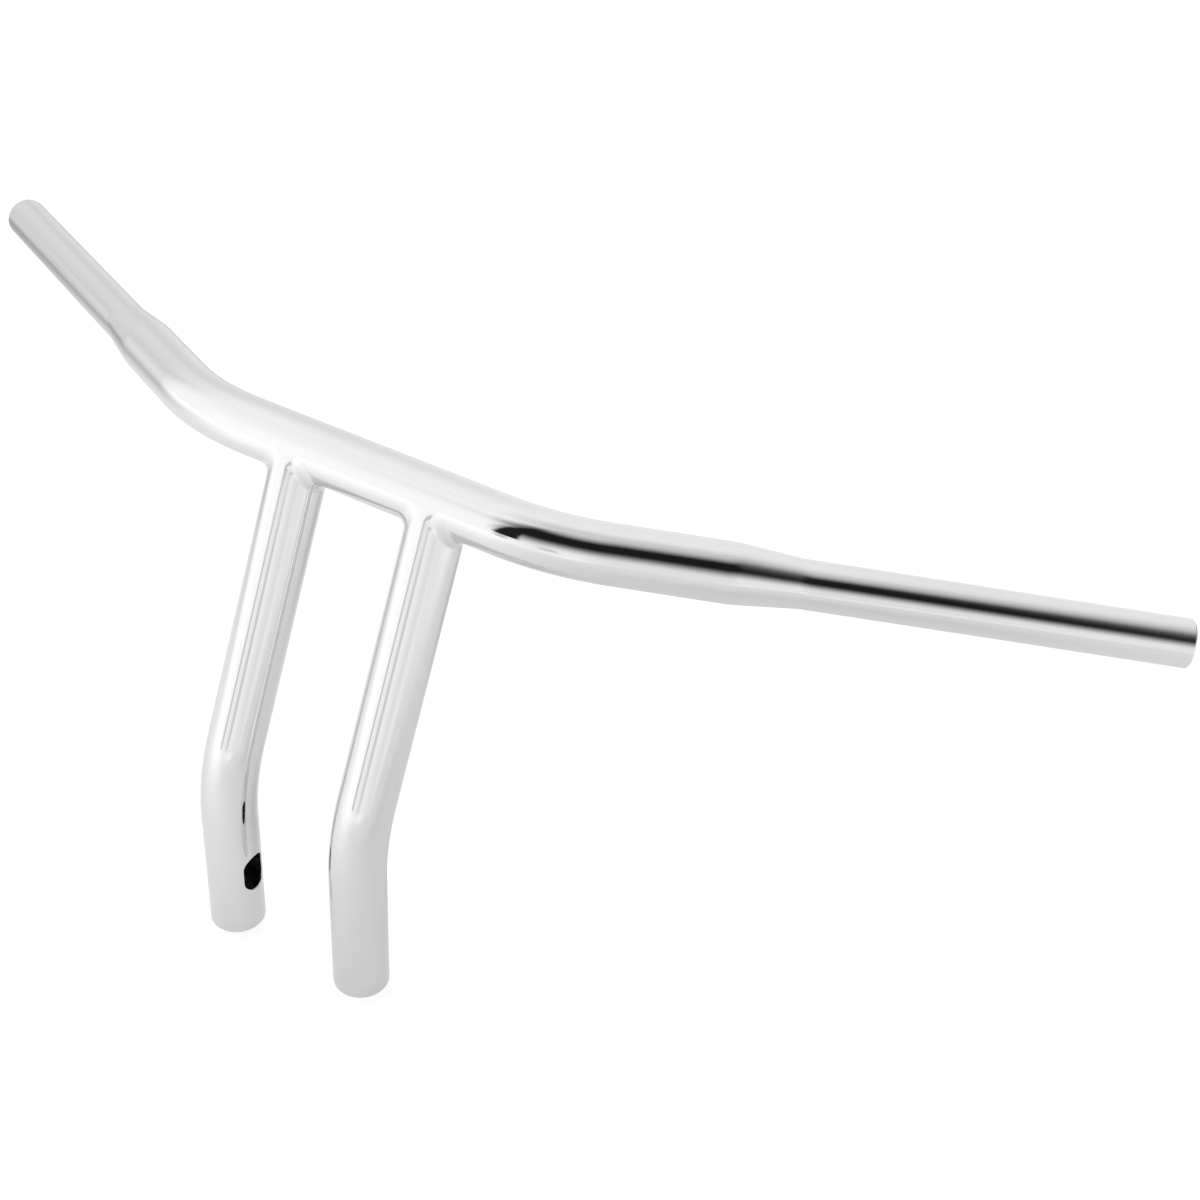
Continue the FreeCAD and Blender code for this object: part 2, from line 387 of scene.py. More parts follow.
# ------------------------------------------------------------------ crossbar
def build_crossbar(mats):
    sk = Skin()
    n = NEAR
    t = tangent_length(X, ARM[1], BAR_CLR)
    down = {s: (-Z - ARM[s] * (-Z).dot(ARM[s])).normalized() for s in (1, -1)}
    run = Run(down[-1])
    start = KNEE[-1] + ARM[-1] * (TAPER_START - SEAM_HALF)
    run.straight(start, KNEE[-1] + ARM[-1] * t, 2.0 * MM)
    run.bend(KNEE[-1], MID, BAR_CLR, 40)
    c0 = len(run.st) - 1
    run.straight(run.st[-1][0], KNEE[1] - X * t, 2.0 * MM)
    c1 = len(run.st) - 1
    run.bend(KNEE[1], KNEE[1] + ARM[1], BAR_CLR, 40)
    a1 = len(run.st) - 1
    run.straight(run.st[-1][0], KNEE[1] + ARM[1] * (TAPER_START - SEAM_HALF), 2.0 * MM)
    st = run.st

    def rad(c):
        for s in (1, -1):
            al = (c - KNEE[s]).dot(ARM[s])
            if al > 60 * MM:
                return smooth_radius(al)
        return R_BAR

    def outside(q):
        for s in (1, -1):
            al = (q[0] - KNEE[s]).dot(ARM[s])
            if al > 60 * MM:
                return arm_ring(q, ARM[s], al, n)
        return ring(q, R_BAR, n)

    outer = [outside(q) for q in st]
    inner = [ring(q, R_BORE, n, -1.0) for q in st]
    holes = []

    def plan(lo, hi, middle, axis, drill, width, length, edge):
        """Picks the block of cells that a hole replaces."""
        js = [j for j in range(lo, hi + 1) if abs((st[j][0] - middle).dot(axis)) <= length / 2 + 4.5 * MM]
        j0, j1 = js[0], js[-1]
        q = st[j0]
        mid = math.atan2(drill.dot(q[3]), drill.dot(q[2]))
        half = math.asin(min(0.95, (width / 2 + 3.2 * MM) / R_BORE)) + 0.04
        i0 = int(math.floor((mid - half) / (2 * math.pi) * n))
        i1 = int(math.ceil((mid + half) / (2 * math.pi) * n))
        holes.append((middle, axis, drill, width, length, edge, i0, i1, j0, j1))

    for s in (-1, 1):
        lo, hi = (0, c0) if s < 0 else (a1, len(st) - 1)
        axis = st[lo + 1][1]
        plan(lo, hi, KNEE[s] + ARM[s] * SLOT_AT, axis, down[s], SLOT_W, SLOT_L, 0.7 * MM)
        plan(c0, c1, Vector((s * RISER_X, -PULLBACK, BAR_Z)), X, -UP, 2 * DRAIN_R, 2 * DRAIN_R, 0.3 * MM)

    def skip(i, j):
        for h in holes:
            if h[8] <= j < h[9]:
                for k in (i, i - n, i + n):
                    if h[6] <= k < h[7]:
                        return True
        return False

    sk.grid(outer, 0, skip)
    sk.grid(inner, 1, skip)
    for middle, axis, drill, width, length, edge, i0, i1, j0, j1 in holes:
        side_hole(sk, middle, axis, drill, R_BAR, R_BORE, width, length, outer, inner, (i0, i1), (j0, j1), n, edge, (0, 1, 1))
    for j, sign in ((0, -1.0), (len(st) - 1, 1.0)):
        q = st[j]
        a = ring(q, rad(q[0]), n)
        b = ring((q[0] + q[1] * sign * SEAM_HALF, q[1], q[2], q[3]), R_BAR - SEAM_DEPTH, n)
        c = ring((q[0] + q[1] * sign * SEAM_HALF, q[1], q[2], q[3]), R_BORE, n)
        d = ring(q, R_BORE, n)
        bevel = [[(p, (q[1] * sign + nn).normalized()) for p, nn in row] for row in (a, b)]
        sk.grid(bevel, 1)
        land = [[(p, q[1] * sign) for p, nn in row] for row in (b, c)]
        sk.grid(land, 1)
        sk.grid([[(p, -nn) for p, nn in row] for row in (c, d)], 1)
    return sk.make("crossbar", mats, "chrome_tube", "crossbar_tube")


# ------------------------------------------------------------------ reducers, grip tubes, ring welds
def eased(points_at, lo, hi, step):
    k = max(2, int(math.ceil((hi - lo) / step)))
    return [(lo + (hi - lo) * i / k, smooth_radius(lo + (hi - lo) * i / k)) for i in range(k + 1)]


def build_arm_end(s, mats, grip_mats, weld_mats):
    name = SIDE[s]
    a, b = TAPER_START, TAPER_END
    out = []

    sk = Skin()
    outside = eased(None, a + SEAM_HALF, b - SEAM_HALF, 0.8 * MM)
    prof = (
        [(a - SPIGOT, REDUCER_BORE_R), (a - SPIGOT, R_BORE - SPIGOT_GAP - 1.0 * MM), (a - SPIGOT + 1.0 * MM, R_BORE - SPIGOT_GAP), (a, R_BORE - SPIGOT_GAP), (a, R_BAR - SEAM_DEPTH)]
        + outside
        + [(b, R_GRIP - SEAM_DEPTH), (b, SOCKET_R - SPIGOT_GAP), (b + SPIGOT - 1.0 * MM, SOCKET_R - SPIGOT_GAP), (b + SPIGOT, SOCKET_R - SPIGOT_GAP - 1.0 * MM), (b + SPIGOT, REDUCER_BORE_R)]
    )
    slots = [1] * 5 + [0] * (len(outside) - 1) + [1] * 6
    lathe(sk, KNEE[s], ARM[s], prof, NEAR, slots, skin_of=set(range(5, 5 + len(outside))))
    out.append(sk.make(name + "_reducer_cone", mats, "chrome_reducer", name + "_reducer"))

    sk = Skin()
    e = GRIP_END
    outside = eased(None, b + SEAM_HALF, b + 4.0 * MM, 0.6 * MM) + [(b + 8.0 * MM, R_GRIP), (e - END_CHAMFER - 0.3 * MM, R_GRIP)]
    lip = []
    for k in range(0, 7):                   # chamfer with softened corners
        f = k / 6.0
        x = e - END_CHAMFER + END_CHAMFER * f
        r = R_GRIP - END_CHAMFER * f
        soft = 0.18 * MM * (1 - (2 * f - 1) ** 2)
        lip.append((x + soft * 0.7, r + soft * 0.7))
    lip += [(e, R_GRIP_BORE + 0.45 * MM), (e - 0.13 * MM, R_GRIP_BORE + 0.13 * MM), (e - 0.45 * MM, R_GRIP_BORE)]
    prof = [(b + SOCKET_DEEP, R_GRIP_BORE), (b + SOCKET_DEEP, SOCKET_R), (b, SOCKET_R), (b, R_GRIP - SEAM_DEPTH)] + outside + lip
    slots = [1] * 4 + [0] * (len(outside) + len(lip) - 1) + [1]
    lathe(sk, KNEE[s], ARM[s], prof, NEAR, slots, hard=0.9, skin_of=set(range(4, 4 + len(outside))))
    out.append(sk.make(name + "_grip_end", grip_mats, "chrome_grip", name + "_grip_tube"))

    for at, node, label, n in ((a, "_reducer_weld", "_reducer_seam", NEAR), (b, "_grip_weld", "_grip_seam", NEAR)):
        sk = Skin()
        r0 = R_BAR if at == a else R_GRIP
        outside = eased(None, at - SEAM_HALF, at + SEAM_HALF, 0.4 * MM)
        prof = [(at, r0 - SEAM_DEPTH)] + outside
        slots = [1] + [0] * (len(outside) - 1) + [1]
        lathe(sk, KNEE[s], ARM[s], prof, n, slots, skin_of=set(range(1, 1 + len(outside))))
        out.append(sk.make(name + label, weld_mats, "chrome_weld", name + node))
    return out


# ------------------------------------------------------------------ risers
def saddle_width(fore):
    """How far the dressed saddle weld runs out along each tube; fore is 1 or -1 at the front and back of the joint."""
    return SADDLE_FILLET + SADDLE_SPREAD * fore * fore


def build_riser(s, mats, weld_mats):
    name = SIDE[s]
    n = NEAR
    top = Vector((s * RISER_X, -PULLBACK, BAR_Z))
    knee = Vector((s * RISER_X, 0, RISER_LEG))
    seat = Vector((s * RISER_X, 0, FOOT_THICK))
    t = tangent_length(Z, UP, RISER_CLR)
    run = Run(-s * X)
    run.straight(seat + Z * GROOVE_HALF, knee - Z * t, 1.6 * MM)
    low = len(run.st) - 1
    run.bend(knee, top, RISER_CLR, 36)
    bent = len(run.st) - 1
    st = run.st
    outer = [ring(q, R_BAR, n) for q in st]
    inner = [ring(q, R_BORE, n, -1.0) for q in st]
    # the upper length ends on the crossbar, so its last rings follow the saddle
    c, tan, d, b = st[-1]
    length = (top - c).length
    steps = 60
    root = []

    def saddle(i, r, kind):
        a = 2 * math.pi * (i % n) / n
        o = d * math.cos(a) + b * math.sin(a)
        x, f = o.dot(X) * r, o.dot(FORE) * r
        if kind == "contact":
            return length - R_BAR * abs(x) / r - saddle_width(f / r), o
        return length - math.sqrt(max(0.0, R_BAR ** 2 - f * f)), o

    for r, rows, sign, kind in ((R_BAR, outer, 1.0, "contact"), (R_BORE, inner, -1.0, "root")):
        ends = [saddle(i, r, kind) for i in range(n)]
        for k in range(1, steps + 1):
            f = k / steps
            row = []
            for i in range(n + 1):
                e, o = ends[i % n]
                row.append((c + tan * (e * f) + o * r, o * sign))
            rows.append(row)
    cope = []
    for i in range(n + 1):
        e, o = saddle(i % n, R_BAR, "root")
        cope.append((c + tan * e + o * R_BAR, o))
    sk = Skin()
    js = [j for j in range(low + 1) if abs(st[j][0].z - PORT_Z) <= PORT_H / 2 + 5.0 * MM]
    j0, j1 = js[0], js[-1]
    half = math.asin((PORT_W / 2 + 3.2 * MM) / R_BORE) + 0.04
    i1 = int(math.ceil(half / (2 * math.pi) * n))
    i0 = -i1

    def skip(i, j):
        return j0 <= j < j1 and any(i0 <= k < i1 for k in (i, i - n))

    sk.grid(outer, 0, skip)
    sk.grid(inner, 1, skip)
    side_hole(sk, Vector((s * RISER_X, 0, PORT_Z)), Z, -s * X, R_BAR, R_BORE, PORT_W, PORT_H, outer, inner, (i0, i1), (j0, j1), n, 0.8 * MM, (0, 1, 2))
    sk.grid([outer[-1], cope], 1)
    axis_point = top
    edge_in = inner[-1]
    strip = []
    for row in (cope, edge_in):
        strip.append([(p, -((p - axis_point) - X * (p - axis_point).dot(X)).normalized()) for p, _ in row])
    sk.grid(strip, 1)
    # bevel and land at the foot
    q = st[0]
    foot_in = ring((seat, Z, q[2], q[3]), GROOVE_ROOT_R, n)
    land_in = ring((seat, Z, q[2], q[3]), R_BORE, n)
    sk.grid([[(p, (nn - Z).normalized()) for p, nn in row] for row in (outer[0], foot_in)], 1)
    sk.grid([[(p, -Z) for p, nn in row] for row in (foot_in, land_in)], 1)
    sk.grid([[(p, -nn) for p, nn in row] for row in (land_in, ring(q, R_BORE, n))], 1)
    riser = sk.make(name + "_riser", mats, "chrome_tube", name + "_riser_tube")

    # saddle weld: at every level in front of the joint's plane the corner is dressed to a quarter circle
    # its root, out of sight, follows the crossbar's skin a little inside the riser's, and makes one closed ring of the two halves
    sk = Skin()
    root_r = R_BAR - 1.0 * MM

    def at(x, tt, f, side):
        return top + X * (side * x) + UP * tt + FORE * f

    for side in (1, -1):
        rows = []
        count = 120
        fine = 20
        for k in range(count + 1):
            phi = -math.pi / 2 + math.pi * k / count
            cp, sp = math.cos(phi), math.sin(phi)
            w = saddle_width(sp)
            dw = 2 * SADDLE_SPREAD * sp * cp
            row = []
            for m in range(fine + 1):
                q = math.pi / 2 * m / fine
                cm, sm = math.cos(q), math.sin(q)
                p = at(R_BAR * cp + w * (1 - cm), -R_BAR * cp - w * (1 - sm), R_BAR * sp, side)
                dm = at(sm, cm, 0, side) - top
                dp = at(-R_BAR * sp + dw * (1 - cm), R_BAR * sp - dw * (1 - sm), R_BAR * cp, side) - top
                nn = dm.cross(dp).normalized()
                if nn.dot(at(cp, -cp, sp, side) - top) < 0:
                    nn.negate()
                row.append((p, nn))
            rows.append((row, at(root_r * cp, -math.sqrt(R_BAR ** 2 - (root_r * sp) ** 2), root_r * sp, side)))
        sk.grid([r[0] for r in rows], 0)
        for (ra, ba), (rb, bb) in zip(rows, rows[1:]):
            to_riser = (-UP - ((ba - top) - UP * (ba - top).dot(UP)).normalized()).normalized()
            to_bar = -(((ba - top) - X * (ba - top).dot(X)).normalized())
            sk.face([ra[0][0], rb[0][0], bb, ba], [to_riser] * 4, 1)
            sk.face([ra[-1][0], rb[-1][0], bb, ba], [to_bar] * 4, 1)
        for (row, root), sign in ((rows[0], -1.0), (rows[-1], 1.0)):
            middle = at(0, 0, R_BAR * sign, side)
            fan = [p for p, _ in row]
            for p, p2 in zip(fan, fan[1:]):
                sk.face([middle, p, p2], [FORE * sign] * 3, 0)
            sk.face([middle, fan[-1], root], [-FORE * sign] * 3, 1)
    weld = sk.make(name + "_saddle_fillet", weld_mats, "chrome_weld", name + "_saddle_weld")

    # foot: threaded bung with a tapped hole, and the ring weld above its flange
    sk = Skin()
    foot = Vector((s * RISER_X, 0, 0))
    rb = R_BORE - BUNG_GAP
    c1 = FOOT_CHAMFER
    edge = []
    for k in range(0, 9):
        a = math.pi / 2 * k / 8
        edge.append((c1 - c1 * math.cos(a), R_BAR - c1 + c1 * math.sin(a)))
    outside = edge + [(FOOT_THICK - GROOVE_HALF, R_BAR), (FOOT_THICK, GROOVE_ROOT_R), (FOOT_THICK, rb), (BUNG_TOP - 1.0 * MM, rb), (BUNG_TOP, rb - 1.0 * MM)]
    mouth = THREAD_MAJOR_R + 0.45 * MM
    prof = [(0.0, mouth)] + outside + [(BUNG_TOP, mouth)]
    d0, b0 = around(Z, X)
    nn = 96

    def circle(z, r, normal):
        row = []
        for k in range(nn + 1):
            a = 2 * math.pi * (k % nn) / nn
            o = d0 * math.cos(a) + b0 * math.sin(a)
            row.append((foot + Z * z + o * r, normal(o)))
        return row

    m = len(prof)
    for i in range(m - 1):
        (z0, r0), (z1, r1) = prof[i], prof[i + 1]
        k = math.hypot(z1 - z0, r1 - r0)
        nz, nr = -(r1 - r0) / k, (z1 - z0) / k
        if i < 1:
            f0 = f1 = lambda o: -Z
        elif i < len(edge):
            a0, a1 = math.pi / 2 * (i - 1) / 8, math.pi / 2 * i / 8
            f0 = lambda o, a=a0: o * math.sin(a) - Z * math.cos(a)
            f1 = lambda o, a=a1: o * math.sin(a) - Z * math.cos(a)
        else:
            f0 = f1 = lambda o, nz=nz, nr=nr: o * nr + Z * nz
        mat = 0 if i <= len(edge) else 1
        if i == 0:
            mat = 3
        sk.grid([circle(z0, r0, f0), circle(z1, r1, f1)], mat)
    # the thread is a height field on the hole's wall, cut away by a countersink at each end
    nz = 300

    def wall(z, a):
        turn = (z / THREAD_PITCH - a / (2 * math.pi)) % 1.0
        tri = 1.0 - abs(2.0 * turn - 1.0)
        flat = min(1.0, max(0.0, (tri - 0.12) / 0.72))
        r = THREAD_MINOR_R + (THREAD_MAJOR_R - THREAD_MINOR_R) * flat
        sink = max(mouth - z, mouth - (BUNG_TOP - z))
        return max(r, sink)

    rows = []
    for j in range(nz + 1):
        z = BUNG_TOP * j / nz
        row = []
        for k in range(nn + 1):
            a = 2 * math.pi * (k % nn) / nn
            r = wall(z, a)
            h = 0.00005
            drz = (wall(min(BUNG_TOP, z + h), a) - wall(max(0, z - h), a)) / (min(BUNG_TOP, z + h) - max(0, z - h))
            o = d0 * math.cos(a) + b0 * math.sin(a)
            row.append((foot + Z * z + o * r, (-o + Z * drz).normalized()))
        rows.append(row)
    sk.grid(rows, 3)
    bung = sk.make(name + "_bung", mats, "chrome_bung", name + "_riser_bung")

    sk = Skin()
    g = GROOVE_HALF
    prof = [(0.0, GROOVE_ROOT_R), (g, R_BAR), (g * 0.5, R_BAR), (0.0, R_BAR), (-g * 0.5, R_BAR), (-g, R_BAR)]
    lathe(sk, seat, Z, prof, NEAR, [1, 0, 0, 0, 0, 1])
    foot_weld = sk.make(name + "_foot_seam", weld_mats, "chrome_weld", name + "_foot_weld")
    return riser, weld, bung, foot_weld


# ------------------------------------------------------------------ materials
def node_tree(name):
    mat = bpy.data.materials.new(name)
    mat.use_nodes = True
    nt = mat.node_tree
    nt.nodes.clear()
    return mat, nt


def add(nt, kind, **values):
    n = nt.nodes.new(kind)
    for k, v in values.items():
        setattr(n, k, v)
    return n


def link(nt, a, b):
    nt.links.new(a, b)


def chrome(name, tint=(0.811, 0.81, 0.809), scuff=0.0):
    """Decorative chrome: mirror metal with faint polishing waves, a haze of hairline scratches and a few finger marks."""
    mat, nt = node_tree(name)
    out = add(nt, "ShaderNodeOutputMaterial")
    b = add(nt, "ShaderNodeBsdfPrincipled")
    b.inputs["Metallic"].default_value = 1.0
    link(nt, b.outputs[0], out.inputs[0])
    pos = add(nt, "ShaderNodeTexCoord").outputs["Object"]

    # colour: chrome with very slight tone drift
    drift = add(nt, "ShaderNodeTexNoise")
    drift.inputs["Scale"].default_value = 9.0
    drift.inputs["Detail"].default_value = 3.0
    link(nt, pos, drift.inputs["Vector"])
    ramp = add(nt, "ShaderNodeValToRGB")
    ramp.color_ramp.elements[0].position = 0.35
    ramp.color_ramp.elements[0].color = (tint[0] * 0.977, tint[1] * 0.977, tint[2] * 0.978, 1)
    ramp.color_ramp.elements[1].position = 0.65
    ramp.color_ramp.elements[1].color = (tint[0], tint[1], tint[2], 1)
    link(nt, drift.outputs["Fac"], ramp.inputs["Fac"])
    link(nt, ramp.outputs["Color"], b.inputs["Base Color"])

    # roughness: polished, with smudges and fine hairlines
    smudge = add(nt, "ShaderNodeTexNoise")
    smudge.inputs["Scale"].default_value = 28.0
    smudge.inputs["Detail"].default_value = 6.0
    smudge.inputs["Roughness"].default_value = 0.62
    link(nt, pos, smudge.inputs["Vector"])
    hair = add(nt, "ShaderNodeTexNoise")
    hair.inputs["Scale"].default_value = 700.0
    hair.inputs["Detail"].default_value = 2.0
    stretch = add(nt, "ShaderNodeMapping")
    stretch.inputs["Scale"].default_value = (0.06, 1.0, 1.0)
    link(nt, pos, stretch.inputs["Vector"])
    link(nt, stretch.outputs[0], hair.inputs["Vector"])
    r1 = add(nt, "ShaderNodeMapRange")
    r1.inputs["From Min"].default_value = 0.35
    r1.inputs["From Max"].default_value = 0.75
    r1.inputs["To Min"].default_value = 0.035 + scuff * 0.03
    r1.inputs["To Max"].default_value = 0.075 + scuff * 0.08
    link(nt, smudge.outputs["Fac"], r1.inputs["Value"])
    r2 = add(nt, "ShaderNodeMapRange")
    r2.inputs["From Min"].default_value = 0.62
    r2.inputs["From Max"].default_value = 0.72
    r2.inputs["To Min"].default_value = 0.0
    r2.inputs["To Max"].default_value = 0.03 + scuff * 0.05
    link(nt, hair.outputs["Fac"], r2.inputs["Value"])
    s = add(nt, "ShaderNodeMath", operation="ADD")
    link(nt, r1.outputs[0], s.inputs[0])
    link(nt, r2.outputs[0], s.inputs[1])
    link(nt, s.outputs[0], b.inputs["Roughness"])

    # bump: long polishing waves and a trace of hairlines
    wave = add(nt, "ShaderNodeTexNoise")
    wave.inputs["Scale"].default_value = 42.0
    wave.inputs["Detail"].default_value = 1.5
    link(nt, pos, wave.inputs["Vector"])
    b1 = add(nt, "ShaderNodeBump")
    b1.inputs["Strength"].default_value = 1.0
    b1.inputs["Distance"].default_value = 0.000012
    link(nt, wave.outputs["Fac"], b1.inputs["Height"])
    b2 = add(nt, "ShaderNodeBump")
    b2.inputs["Strength"].default_value = 1.0
    b2.inputs["Distance"].default_value = 0.0000006
    link(nt, hair.outputs["Fac"], b2.inputs["Height"])
    link(nt, b1.outputs[0], b2.inputs["Normal"])
    link(nt, b2.outputs[0], b.inputs["Normal"])
    return mat


def bare(name, dark=0.22):
    """Unplated bore of drawn tube: dull steel with a thin, blotchy flash of plating."""
    mat, nt = node_tree(name)
    out = add(nt, "ShaderNodeOutputMaterial")
    b = add(nt, "ShaderNodeBsdfPrincipled")
    b.inputs["Metallic"].default_value = 0.75
    link(nt, b.outputs[0], out.inputs[0])
    pos = add(nt, "ShaderNodeTexCoord").outputs["Object"]
    blot = add(nt, "ShaderNodeTexNoise")
    blot.inputs["Scale"].default_value = 90.0
    blot.inputs["Detail"].default_value = 8.0
    link(nt, pos, blot.inputs["Vector"])
    ramp = add(nt, "ShaderNodeValToRGB")
    ramp.color_ramp.elements[0].position = 0.3
    ramp.color_ramp.elements[0].color = (dark * 0.45, dark * 0.42, dark * 0.4, 1)
    ramp.color_ramp.elements[1].position = 0.75
    ramp.color_ramp.elements[1].color = (dark, dark * 0.99, dark * 0.97, 1)
    link(nt, blot.outputs["Fac"], ramp.inputs["Fac"])
    link(nt, ramp.outputs["Color"], b.inputs["Base Color"])
    rr = add(nt, "ShaderNodeMapRange")
    rr.inputs["To Min"].default_value = 0.42
    rr.inputs["To Max"].default_value = 0.7
    link(nt, blot.outputs["Fac"], rr.inputs["Value"])
    link(nt, rr.outputs[0], b.inputs["Roughness"])
    bump = add(nt, "ShaderNodeBump")
    bump.inputs["Strength"].default_value = 0.6
    bump.inputs["Distance"].default_value = 0.00008
    link(nt, blot.outputs["Fac"], bump.inputs["Height"])
    link(nt, bump.outputs[0], b.inputs["Normal"])
    return mat


tube_chrome = chrome("chrome_tube")
grip_chrome = chrome("chrome_grip", (0.805, 0.804, 0.803), scuff=0.35)
weld_chrome = chrome("chrome_weld")
bore_steel = bare("bore_steel")
thread_steel = bare("thread_steel", 0.5)

pieces = [build_crossbar([tube_chrome, bore_steel, tube_chrome])]
for side in (1, -1):
    pieces += build_arm_end(side, [tube_chrome, bore_steel], [grip_chrome, bore_steel], [weld_chrome, bore_steel])
    pieces += build_riser(side, [tube_chrome, bore_steel, tube_chrome, thread_steel], [weld_chrome, bore_steel])

# ------------------------------------------------------------------ studio
def maths(nt, op, x, y=None, z=None):
    n = add(nt, "ShaderNodeMath", operation=op)
    for i, v in enumerate((x, y, z)):
        if v is None:
            continue
        if isinstance(v, (int, float)):
            n.inputs[i].default_value = v
        else:
            link(nt, v, n.inputs[i])
    return n.outputs[0]


def step_up(nt, value, lo, hi):
    """0 below lo, 1 above hi, smooth between."""
    n = add(nt, "ShaderNodeMapRange", interpolation_type="SMOOTHSTEP")
    link(nt, value, n.inputs["Value"])
    n.inputs["From Min"].default_value = lo
    n.inputs["From Max"].default_value = hi
    return n.outputs[0]


def window(nt, value, lo, hi, soft):
    """1 between lo and hi, with soft edges."""
    up = step_up(nt, value, lo - soft / 2, lo + soft / 2)
    down = step_up(nt, value, hi - soft / 2, hi + soft / 2)
    return maths(nt, "MULTIPLY", up, maths(nt, "SUBTRACT", 1.0, down))


def levels(nt, fac, stops):
    """Brightness against azimuth: stops are (degrees, level)."""
    n = add(nt, "ShaderNodeValToRGB")
    n.color_ramp.interpolation = "LINEAR"
    el = n.color_ramp.elements
    while len(el) > 1:
        el.remove(el[-1])
    for k, (deg, v) in enumerate(stops):
        e = el[0] if k == 0 else el.new((deg + 180.0) / 360.0)
        e.position = (deg + 180.0) / 360.0
        e.color = (v / 2, v / 2, v / 2, 1)
    link(nt, fac, n.inputs["Fac"])
    return maths(nt, "MULTIPLY", n.outputs["Color"], 2.0)


DIM = 0.805                     # all studio light is scaled by this
LOW_WALL = [                    # azimuth in degrees from +Y towards +X, brightness: the tent wall near the floor
    (-180, 1.51), (-165, 1.53), (-150, 1.57), (-135, 1.61), (-120, 1.65), (-105, 1.69),
    (-90, 1.69), (-75, 1.50), (-60, 1.42), (-46, 1.50), (-38, 1.38), (-30, 1.43), (-15, 1.62),
    (0, 1.54), (15, 1.68), (30, 1.86), (45, 1.90), (60, 1.80), (75, 1.79),
    (85, 1.59), (95, 1.18), (105, 1.26), (115, 1.28), (125, 1.26), (135, 1.17),
    (145, 1.31), (155, 1.50), (165, 1.47), (180, 1.51),
]
HIGH_WALL = [                   # and higher up
    (-180, 1.48), (-150, 1.28), (-120, 1.30), (-90, 1.30), (-30, 1.35), (20, 1.50),
    (35, 1.62), (50, 1.68), (65, 1.68), (80, 1.63), (95, 1.69), (110, 1.64),
    (125, 1.62), (140, 1.59), (155, 1.55), (170, 1.54), (180, 1.48),
]
ROOF = 1.15
FLOOR_BASE = 1.22
PAINTED_FLOOR_POOLS = [                 # x, y, spread, extra brightness: painted pools of light (positive) and painted shade (negative) in the floor's glow
    (0.80, 1.20, 0.50, 0.638),
    (0.40, 0.40, 0.25, 0.344),
    (-1.60, 0.00, 0.50, 0.337),
    (1.60, 0.80, 0.50, 0.272),
    (1.00, -0.40, 0.25, -0.507),
    (-0.10, -0.10, 0.12, -0.040),
    (-0.40, 0.10, 0.12, -0.110),
    (-1.00, -0.40, 0.25, 0.426),
    (1.60, -0.80, 0.50, -0.336),
    (0.10, 0.15, 0.12, 0.090),
    (-0.50, 0.70, 0.30, 0.084),
    (0.50, -0.20, 0.20, 0.159),
    (-0.12, -0.34, 0.07, -0.260),
    (-0.01, -0.08, 0.04, -0.240),
    (-1.00, 0.50, 0.30, -0.099),
]
FLOOR_ALBEDO = 0.45
SKY_ON_FLOOR = 1.38             # mean brightness of the tent above, as the floor sees it

floor = bpy.data.meshes.new("studio_floor")
fn, fr = 96, 30.0
floor.from_pydata([(fr * math.cos(2 * math.pi * k / fn), fr * math.sin(2 * math.pi * k / fn), -0.0001) for k in range(fn)], [], [list(range(fn))])
floor_obj = bpy.data.objects.new("studio_floor", floor)
bpy.context.scene.collection.objects.link(floor_obj)
fmat, nt = node_tree("pale_floor")
o = add(nt, "ShaderNodeOutputMaterial")
b = add(nt, "ShaderNodeBsdfPrincipled")
b.inputs["Base Color"].default_value = (FLOOR_ALBEDO, FLOOR_ALBEDO, FLOOR_ALBEDO, 1)
b.inputs["Roughness"].default_value = 1.0
b.inputs["Specular IOR Level"].default_value = 0.0
sep = add(nt, "ShaderNodeSeparateXYZ")
link(nt, add(nt, "ShaderNodeTexCoord").outputs["Object"], sep.inputs[0])
# the floor's glow is painted light: emission set by position adds pools of light and painted shade (darker patches
# under the crossbar and between the risers), easing far off into the tent wall's brightness
total = None
for px, py, spread, extra in PAINTED_FLOOR_POOLS:
    dx = maths(nt, "SUBTRACT", sep.outputs[0], px)
    dy = maths(nt, "SUBTRACT", sep.outputs[1], py)
    d2 = maths(nt, "ADD", maths(nt, "MULTIPLY", dx, dx), maths(nt, "MULTIPLY", dy, dy))
    pool = maths(nt, "MULTIPLY", maths(nt, "EXPONENT", maths(nt, "MULTIPLY", d2, -0.5 / spread ** 2)), extra)
    total = pool if total is None else maths(nt, "ADD", total, pool)
near = maths(nt, "ADD", total, FLOOR_BASE)
reach = maths(nt, "SQRT", maths(nt, "ADD", maths(nt, "MULTIPLY", sep.outputs[0], sep.outputs[0]), maths(nt, "MULTIPLY", sep.outputs[1], sep.outputs[1])))
bearing = maths(nt, "DEGREES", maths(nt, "ARCTAN2", sep.outputs[0], sep.outputs[1]))
wall_foot = levels(nt, maths(nt, "ADD", maths(nt, "DIVIDE", bearing, 360.0), 0.5), LOW_WALL)
lit = maths(nt, "ADD", near, maths(nt, "MULTIPLY", maths(nt, "SUBTRACT", wall_foot, near), step_up(nt, reach, 0.5, 2.2)))
# camera rays see the floor plain and even; every other ray sees the painted pools of light and shade
seen = add(nt, "ShaderNodeLightPath").outputs["Is Camera Ray"]
lit = maths(nt, "MULTIPLY", lit, DIM)
even = maths(nt, "ADD", lit, maths(nt, "MULTIPLY", maths(nt, "SUBTRACT", 1.28, lit), seen))
# the glow is emission that tops up the tent's real light on the floor to that painted brightness
glow = maths(nt, "MAXIMUM", maths(nt, "SUBTRACT", even, FLOOR_ALBEDO * SKY_ON_FLOOR * DIM), 0.0)
b.inputs["Emission Color"].default_value = (1, 1, 1, 1)
link(nt, glow, b.inputs["Emission Strength"])
link(nt, b.outputs[0], o.inputs[0])
floor.materials.append(fmat)

